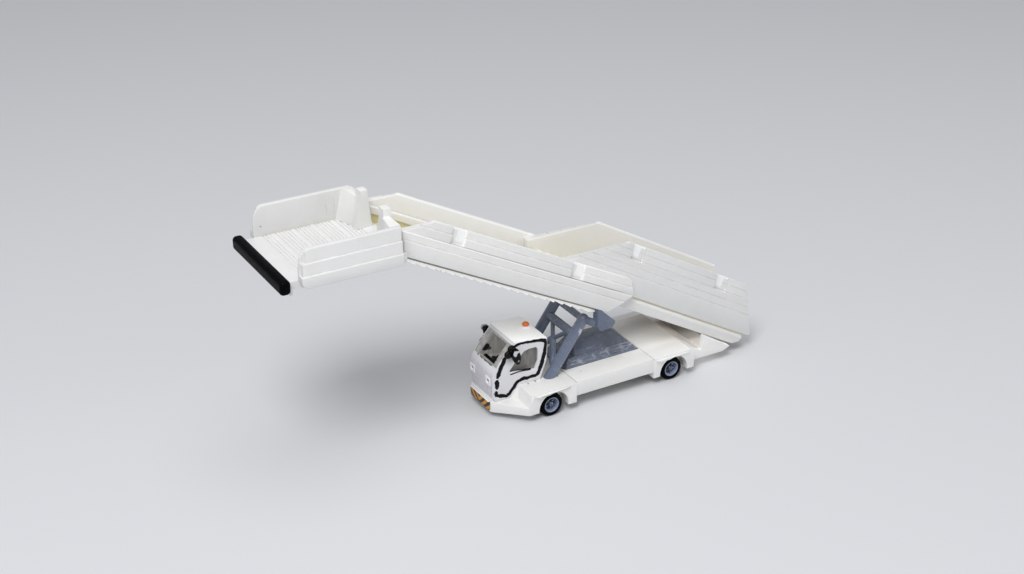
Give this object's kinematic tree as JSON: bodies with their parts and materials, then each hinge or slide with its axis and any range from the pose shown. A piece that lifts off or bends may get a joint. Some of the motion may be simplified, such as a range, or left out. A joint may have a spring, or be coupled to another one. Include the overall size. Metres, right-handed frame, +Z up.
{
  "type": "model of mobile aircraft stairs",
  "caption": "Small static model of truck-mounted aircraft boarding stairs: telescoped flights with lapped side panels, railed platform, single-seat cab, slanting lift frame and rolling wheels.",
  "frame": {"origin": "middle of the bounding box, on the ground under the tyres", "axes": "+X forwards towards the cab and the platform, +Y to the vehicle's left, +Z up"},
  "size_m": [0.0646, 0.0144, 0.0308],
  "materials": {
    "white_paint": "satin",
    "bare_resin": "matte",
    "grey_blue_paint": "gloss",
    "wheel_paint": "gloss",
    "tyre_black": "satin",
    "black_paint": "satin",
    "bumper_black": "matte",
    "silver_paint": "gloss",
    "pearl_paint": "satin",
    "beacon_orange": "gloss",
    "warning_stripes": "satin",
    "axle_steel": "satin"
  },
  "bodies": {
    "vehicle": {"chassis_body": "white_paint", "base_plate": "bare_resin", "chevron_plate": "warning_stripes", "tail_cradle": "white_paint", "cab_shell": "white_paint", "door_l": "white_paint", "door_r": "white_paint", "door_seal_l": "black_paint", "door_seal_r": "black_paint", "front_panel": "pearl_paint", "dashboard": "black_paint", "steering_wheel": "black_paint", "seat": "bare_resin", "headlight_l": "silver_paint", "headlight_r": "silver_paint", "mirror_l": "black_paint", "mirror_r": "black_paint", "mirror_glass_l": "silver_paint", "mirror_glass_r": "silver_paint", "beacon_base": "white_paint", "beacon": "beacon_orange", "hood": "grey_blue_paint", "lift_tube_l": "grey_blue_paint", "lift_tube_r": "grey_blue_paint", "lift_cross_upper": "grey_blue_paint", "lift_cross_lower": "grey_blue_paint", "lift_brace": "grey_blue_paint", "shoe_l": "grey_blue_paint", "shoe_r": "grey_blue_paint", "lower_panel_l": "white_paint", "lower_panel_r": "white_paint", "lower_rail_l": "white_paint", "lower_rail_r": "white_paint", "lower_steps": "bare_resin", "upper_panel_l": "white_paint", "upper_panel_r": "white_paint", "upper_stringer_l": "white_paint", "upper_stringer_r": "white_paint", "upper_steps": "bare_resin", "platform_floor": "white_paint", "platform_wall_l": "white_paint", "platform_wall_r": "white_paint", "end_wall_l": "white_paint", "end_wall_r": "white_paint", "platform_bumper": "bumper_black"},
    "front wheelset": {"front_axle": "axle_steel", "tyre_fl": "tyre_black", "tyre_fr": "tyre_black", "hub_fl": "wheel_paint", "hub_fr": "wheel_paint"},
    "rear wheelset": {"rear_axle": "axle_steel", "tyre_rl": "tyre_black", "tyre_rr": "tyre_black", "hub_rl": "wheel_paint", "hub_rr": "wheel_paint"}
  },
  "joints": [
    {"name": "front wheels roll", "type": "hinge", "parent": "vehicle", "child": "front wheelset", "pos_m": [-0.00151, 0, 0.0015], "axis": [0, 1, 0], "continuous": true},
    {"name": "rear wheels roll", "type": "hinge", "parent": "vehicle", "child": "rear wheelset", "pos_m": [-0.01895, 0, 0.0015], "axis": [0, 1, 0], "continuous": true}
  ]
}
